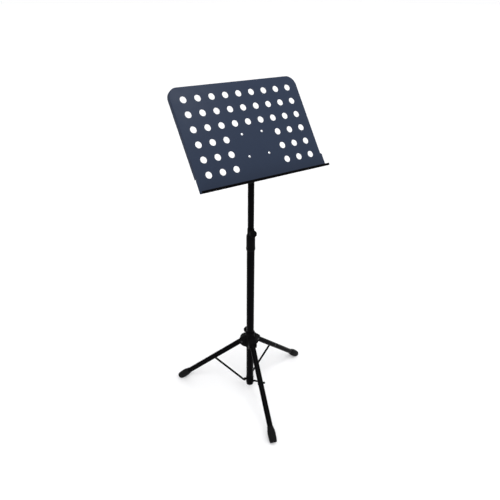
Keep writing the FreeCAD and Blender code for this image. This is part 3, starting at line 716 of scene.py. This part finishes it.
def hub():
    """One moulding: a sleeve, three hooded ears open below and outside, and a screw boss."""
    low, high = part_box("hub_body")
    inner, outer = 14.08 * MM, 18.0 * MM
    sleeve = [(inner, low.z, 0.5 * MM), (outer, low.z, 1 * MM), (outer, high.z, 2.2 * MM),
              (inner, high.z, 0.6 * MM)]
    parts = [lathe(sleeve, segments=96)]
    hood = [(14.5, 215, 0), (22, 216.5, 6), (31.5, 221.5, 4), (38, 228, 6), (42, 236, 8), (42.4, 243, 8),
            (39.5, 250, 8), (34.5, 256, 10), (26, 261.5, 20), (17, 264, 0), (14.5, 264, 0)]
    hood = [(a * MM, b * MM, r * MM) for a, b, r in hood]
    roof = [(17, 248, 0), (40.4, 248, 0), (34.5, 256, 8), (26, 261.5, 20), (17, 264, 0)]
    roof = [(a * MM, b * MM, r * MM) for a, b, r in roof]
    spine = [(15 * MM, 215 * MM, 0), (19.3 * MM, 215 * MM, 0), (19.3 * MM, 264 * MM, 0), (15 * MM, 264 * MM, 0)]
    for place in PLACES:
        stand = standing(place)
        parts.append(prism(hood, SLOT_HALF, EAR_HALF, stand))
        parts.append(prism(hood, -EAR_HALF, -SLOT_HALF, stand))
        parts.append(prism(roof, -SLOT_HALF - 1 * MM, SLOT_HALF + 1 * MM, stand))
        parts.append(prism(spine, -SLOT_HALF - 1 * MM, SLOT_HALF + 1 * MM, stand))
    place = radial("hub_knob_turn")
    boss = [(3.3 * MM, 15.0 * MM, 0), (10.8 * MM, 15.0 * MM, 0), (8.0 * MM, 20.5 * MM, 2 * MM),
            (7.7 * MM, 31 * MM, 0.8 * MM), (3.3 * MM, 31 * MM, 0)]
    parts.append(lathe(boss, place))
    as_piece("leg_hub", melted(parts, 0.75 * MM, 5), "hub", "black_plastic", "hub_body", sharp=60.0)
    grip = place @ Matrix.Translation((0, 0, 32.0 * MM))
    knob("hub_hand_knob", "hub_knob", grip, 13.1 * MM, 15.0 * MM, "hub_knob")
    pins = []
    for leg in PLACES:
        out, tangent, pivot = leg_axes(leg)
        for side in (-1, 1):
            spot = pointing(pivot + tangent * side * EAR_HALF, tangent * side)
            pins.append(button(4.4 * MM, 1.4 * MM, 3.0 * MM, EAR_HALF, spot))
    as_piece("pivot_pins", joined(pins), "hub", "zinc_black", "leg_pins")


def collar():
    """Ring near the tube's foot with a rounded lug for each brace."""
    low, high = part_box("brace_collar")
    parts = [lathe([(14.0 * MM, low.z, 0), (15.0 * MM, low.z, 0.5 * MM), (15.0 * MM, high.z, 0.5 * MM),
                    (14.0 * MM, high.z, 0)], segments=96)]
    lug = [(14.3, 45.1, 0), (23.4, 45.1, 4.8), (23.4, 54.9, 4.8), (14.3, 54.9, 0)]
    lug = [(a * MM, b * MM, r * MM) for a, b, r in lug]
    parts += [prism(lug, 4 * MM, 9 * MM, standing(place)) for place in PLACES]
    as_piece("collar_with_lugs", melted(parts, 0.45 * MM, 3), "mast", "black_coat", "brace_collar", sharp=60.0)


def make_tripod():
    hub()
    collar()
    for place in PLACES:
        make_leg(place)


# Sun lamps: name, direction towards the lamp, spread in degrees, strength.
LAMPS = (("key", (-0.55, -0.75, 1.0), 50.0, 1.7), ("fill", (0.9, -0.5, 0.9), 70.0, 0.7),
         ("rim", (0.2, 0.9, 0.8), 60.0, 0.35))
GLOW_SIZE = 0.3
GLOW_POWER = 3.2
GLOW_PLACE = (0.19, -0.36, 1.97)
GLOW_AIM = Vector((-0.24, 0.1, 1.19))
LENS = 36.80
SENSOR = 36.0
CAMERA_PLACE = (-0.9202, -1.3095, 1.4426)
# Azimuth, angle down from level, and roll, in degrees.
CAMERA_TURN = (-35.01, 26.94, 0.33)


def studio():
    """Wide flat pale floor, broad soft lamps, one lamp whose sheen falls on the desk, and the camera."""
    bm = bmesh.new()
    bmesh.ops.create_grid(bm, x_segments=1, y_segments=1, size=60.0)
    mesh = bpy.data.meshes.new("floor")
    bm.to_mesh(mesh)
    bm.free()
    floor = bpy.data.objects.new("floor", mesh)
    bpy.context.scene.collection.objects.link(floor)
    paper = Finish("floor_paper", Roughness=0.9, Specular_IOR_Level=0.1)
    paper.drive(Base_Color=paper.blend(paper.noise(1.2, 2.0), (0.94, 0.94, 0.945, 1), (0.97, 0.97, 0.975, 1)))
    mesh.materials.append(paper.material)

    world = bpy.data.worlds.new("studio")
    bpy.context.scene.world = world
    world.use_nodes = True
    tree = world.node_tree
    sky = tree.nodes["Background"]
    sky.inputs["Color"].default_value = (0.99, 0.99, 1.0, 1.0)
    seen = tree.nodes.new("ShaderNodeLightPath")
    share = tree.nodes.new("ShaderNodeMapRange")
    share.inputs["To Min"].default_value = 0.55
    share.inputs["To Max"].default_value = 1.0
    tree.links.new(seen.outputs["Is Camera Ray"], share.inputs["Value"])
    tree.links.new(share.outputs["Result"], sky.inputs["Strength"])
    bpy.context.scene.view_settings.view_transform = "Standard"

    for name, way, spread, power in LAMPS:
        lamp = bpy.data.lights.new(name, "SUN")
        lamp.angle = math.radians(spread)
        lamp.energy = power
        holder = bpy.data.objects.new(name, lamp)
        bpy.context.scene.collection.objects.link(holder)
        holder.rotation_mode = "QUATERNION"
        holder.rotation_quaternion = Vector(way).to_track_quat("Z", "Y")

    glow = bpy.data.lights.new("glow", "AREA")
    glow.size, glow.energy = GLOW_SIZE, GLOW_POWER
    holder = bpy.data.objects.new("glow", glow)
    bpy.context.scene.collection.objects.link(holder)
    holder.location = GLOW_PLACE
    holder.rotation_mode = "QUATERNION"
    holder.rotation_quaternion = (GLOW_AIM - holder.location).to_track_quat("-Z", "Y")

    lens = bpy.data.cameras.new("camera")
    lens.lens, lens.sensor_width = LENS, SENSOR
    camera = bpy.data.objects.new("camera", lens)
    bpy.context.scene.collection.objects.link(camera)
    azimuth, elevation, roll = (math.radians(angle) for angle in CAMERA_TURN)
    camera.location = CAMERA_PLACE
    turn = (Matrix.Rotation(azimuth, 4, "Z") @ Matrix.Rotation(math.pi / 2 - elevation, 4, "X")
            @ Matrix.Rotation(roll, 4, "Z"))
    camera.rotation_mode = "QUATERNION"
    camera.rotation_quaternion = turn.to_quaternion()
    bpy.context.scene.camera = camera


studio()
make_desk()
make_mast()
make_tripod()
for entry in frame["record"]["subparts"]:
    cad = frame["nodes"][entry["node"]]
    cad.data.materials.clear()
    cad.data.materials.append(MATERIALS[entry["material_slot"]])
